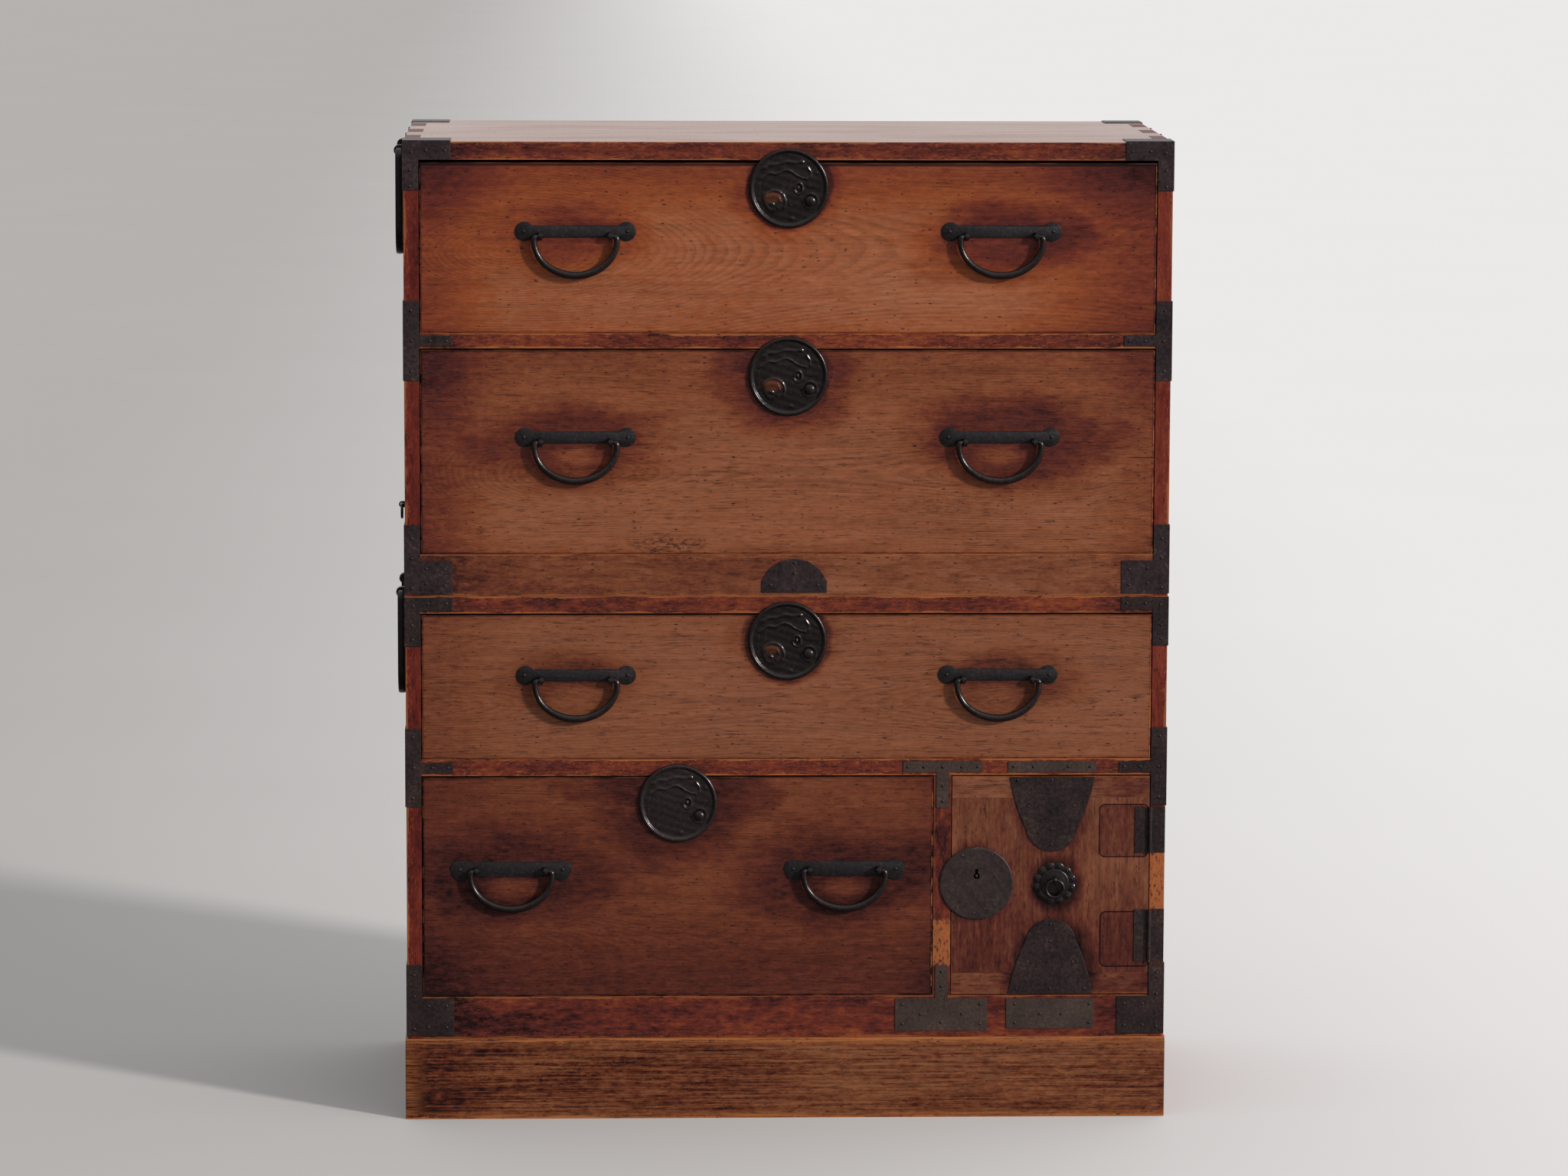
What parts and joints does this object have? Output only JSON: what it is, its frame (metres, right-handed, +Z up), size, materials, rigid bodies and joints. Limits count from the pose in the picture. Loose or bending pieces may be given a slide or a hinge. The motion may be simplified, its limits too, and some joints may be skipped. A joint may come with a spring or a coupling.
{
  "type": "isho clothing chest",
  "caption": "Two-section stacked Japanese clothing chest with iron-bound drawers, a small hinged lockable door, drop bail handles and carrying handles.",
  "frame": {"origin": "on the floor, under the centre of the bounding box", "axes": "+X towards the right end as seen from the front, +Y to the back, +Z up; the drawers open towards -Y"},
  "size_m": [0.9414, 0.453, 1.1772],
  "materials": {
    "case_wood": "worn red-brown lacquer",
    "front_wood": "worn red-brown lacquer over straight grain",
    "plain_wood": "unfinished, darkened with age",
    "inner_wood": "unfinished, lightly oiled",
    "iron": "hand-forged black iron with a dull lacquer sheen"
  },
  "bodies": {
    "lower_case": {"plinth_long_boards": "case_wood", "plinth_side_boards": "case_wood", "plinth_cross_boards": "plain_wood", "lower_side_boards": "case_wood", "lower_top_board": "case_wood", "lower_back_boards": "plain_wood", "lower_bottom_boards": "plain_wood", "lower_shelf": "case_wood", "lower_divider": "case_wood", "lower_corner_irons": "iron", "divider_irons": "iron", "lower_pole_posts": "iron", "inner_shelves": "inner_wood", "inner_drawer_fronts": "inner_wood", "inner_drawer_boxes": "inner_wood", "inner_drawer_pulls": "iron", "frame_hinge_leaves": "iron"},
    "door": {"door_board": "front_wood", "door_end_battens": "front_wood", "door_shields": "iron", "door_hinge_leaves": "iron", "door_lock_plate": "iron", "door_rosette": "iron"},
    "door_ring": {"door_ring": "iron"},
    "upper_case": {"upper_side_boards": "case_wood", "upper_top_board": "case_wood", "upper_back_boards": "plain_wood", "upper_bottom_boards": "plain_wood", "upper_shelf": "case_wood", "upper_irons": "iron", "upper_pole_posts": "iron"},
    "side_ring": {"side_ring": "iron"},
    "upper_pole_handle_left": {"upper_pole_handle_left": "iron"},
    "upper_pole_handle_right": {"upper_pole_handle_right": "iron"},
    "lower_pole_handle_left": {"lower_pole_handle_left": "iron"},
    "lower_pole_handle_right": {"lower_pole_handle_right": "iron"},
    "drawer_1": {"drawer_1_front": "front_wood", "drawer_1_box": "plain_wood", "drawer_1_irons": "iron"},
    "drawer_1_lock_button": {"drawer_1_lock_button": "iron"},
    "drawer_1_bail_left": {"drawer_1_bail_left": "iron"},
    "drawer_1_bail_right": {"drawer_1_bail_right": "iron"},
    "drawer_2": {"drawer_2_front": "front_wood", "drawer_2_box": "plain_wood", "drawer_2_irons": "iron"},
    "drawer_2_lock_button": {"drawer_2_lock_button": "iron"},
    "drawer_2_bail_left": {"drawer_2_bail_left": "iron"},
    "drawer_2_bail_right": {"drawer_2_bail_right": "iron"},
    "drawer_3": {"drawer_3_front": "front_wood", "drawer_3_box": "plain_wood", "drawer_3_irons": "iron"},
    "drawer_3_lock_button": {"drawer_3_lock_button": "iron"},
    "drawer_3_bail_left": {"drawer_3_bail_left": "iron"},
    "drawer_3_bail_right": {"drawer_3_bail_right": "iron"},
    "drawer_4": {"drawer_4_front": "front_wood", "drawer_4_box": "plain_wood", "drawer_4_irons": "iron"},
    "drawer_4_lock_button": {"drawer_4_lock_button": "iron"},
    "drawer_4_bail_left": {"drawer_4_bail_left": "iron"},
    "drawer_4_bail_right": {"drawer_4_bail_right": "iron"}
  },
  "joints": [
    {"name": "upper_case_lift", "type": "slide", "parent": "lower_case", "child": "upper_case", "axis": [0, 0, 1], "range_m": [0, 0.3]},
    {"name": "door_swing", "type": "hinge", "parent": "lower_case", "child": "door", "pos_m": [0.437, -0.2169, 0.2835], "axis": [0, 0, 1], "range_deg": [0, 110]},
    {"name": "door_ring_swing", "type": "hinge", "parent": "door", "child": "door_ring", "pos_m": [0.3225, -0.2224, 0.291], "axis": [-1, 0, 0], "range_deg": [0, 120]},
    {"name": "side_ring_swing", "type": "hinge", "parent": "upper_case", "child": "side_ring", "pos_m": [-0.4601, -0.1515, 0.738], "axis": [0, 1, 0], "range_deg": [0, 120]},
    {"name": "upper_pole_handle_left_swing", "type": "hinge", "parent": "upper_case", "child": "upper_pole_handle_left", "pos_m": [-0.4643, 0.0065, 1.156], "axis": [0, 1, 0], "range_deg": [0, 180]},
    {"name": "upper_pole_handle_right_swing", "type": "hinge", "parent": "upper_case", "child": "upper_pole_handle_right", "pos_m": [0.4643, 0.0065, 1.156], "axis": [0, -1, 0], "range_deg": [0, 180]},
    {"name": "lower_pole_handle_left_swing", "type": "hinge", "parent": "lower_case", "child": "lower_pole_handle_left", "pos_m": [-0.4643, 0.0065, 0.619], "axis": [0, 1, 0], "range_deg": [0, 180]},
    {"name": "lower_pole_handle_right_swing", "type": "hinge", "parent": "lower_case", "child": "lower_pole_handle_right", "pos_m": [0.4643, 0.0065, 0.619], "axis": [0, -1, 0], "range_deg": [0, 180]},
    {"name": "drawer_1_slide", "type": "slide", "parent": "upper_case", "child": "drawer_1", "axis": [0, -1, 0], "range_m": [0, 0.3]},
    {"name": "drawer_1_lock_button_press", "type": "slide", "parent": "drawer_1", "child": "drawer_1_lock_button", "axis": [0, 1, 0], "range_m": [0, 0.0024], "stiffness_N_per_m": 400, "springref_m": -0.002},
    {"name": "drawer_1_bail_left_swing", "type": "hinge", "parent": "drawer_1", "child": "drawer_1_bail_left", "pos_m": [-0.25202, -0.2219, 1.0643], "axis": [-1, 0, 0], "range_deg": [0, 150]},
    {"name": "drawer_1_bail_right_swing", "type": "hinge", "parent": "drawer_1", "child": "drawer_1_bail_right", "pos_m": [0.25202, -0.2219, 1.0643], "axis": [-1, 0, 0], "range_deg": [0, 150]},
    {"name": "drawer_2_slide", "type": "slide", "parent": "upper_case", "child": "drawer_2", "axis": [0, -1, 0], "range_m": [0, 0.3]},
    {"name": "drawer_2_lock_button_press", "type": "slide", "parent": "drawer_2", "child": "drawer_2_lock_button", "axis": [0, 1, 0], "range_m": [0, 0.0024], "stiffness_N_per_m": 400, "springref_m": -0.002},
    {"name": "drawer_2_bail_left_swing", "type": "hinge", "parent": "drawer_2", "child": "drawer_2_bail_left", "pos_m": [-0.25202, -0.2219, 0.8198], "axis": [-1, 0, 0], "range_deg": [0, 150]},
    {"name": "drawer_2_bail_right_swing", "type": "hinge", "parent": "drawer_2", "child": "drawer_2_bail_right", "pos_m": [0.25202, -0.2219, 0.8198], "axis": [-1, 0, 0], "range_deg": [0, 150]},
    {"name": "drawer_3_slide", "type": "slide", "parent": "lower_case", "child": "drawer_3", "axis": [0, -1, 0], "range_m": [0, 0.3]},
    {"name": "drawer_3_lock_button_press", "type": "slide", "parent": "drawer_3", "child": "drawer_3_lock_button", "axis": [0, 1, 0], "range_m": [0, 0.0024], "stiffness_N_per_m": 400, "springref_m": -0.002},
    {"name": "drawer_3_bail_left_swing", "type": "hinge", "parent": "drawer_3", "child": "drawer_3_bail_left", "pos_m": [-0.25202, -0.2219, 0.5343], "axis": [-1, 0, 0], "range_deg": [0, 150]},
    {"name": "drawer_3_bail_right_swing", "type": "hinge", "parent": "drawer_3", "child": "drawer_3_bail_right", "pos_m": [0.25202, -0.2219, 0.5343], "axis": [-1, 0, 0], "range_deg": [0, 150]},
    {"name": "drawer_4_slide", "type": "slide", "parent": "lower_case", "child": "drawer_4", "axis": [0, -1, 0], "range_m": [0, 0.3]},
    {"name": "drawer_4_lock_button_press", "type": "slide", "parent": "drawer_4", "child": "drawer_4_lock_button", "axis": [0, 1, 0], "range_m": [0, 0.0024], "stiffness_N_per_m": 400, "springref_m": -0.002},
    {"name": "drawer_4_bail_left_swing", "type": "hinge", "parent": "drawer_4", "child": "drawer_4_bail_left", "pos_m": [-0.32994, -0.2219, 0.3035], "axis": [-1, 0, 0], "range_deg": [0, 150]},
    {"name": "drawer_4_bail_right_swing", "type": "hinge", "parent": "drawer_4", "child": "drawer_4_bail_right", "pos_m": [0.06944, -0.2219, 0.3035], "axis": [-1, 0, 0], "range_deg": [0, 150]}
  ]
}
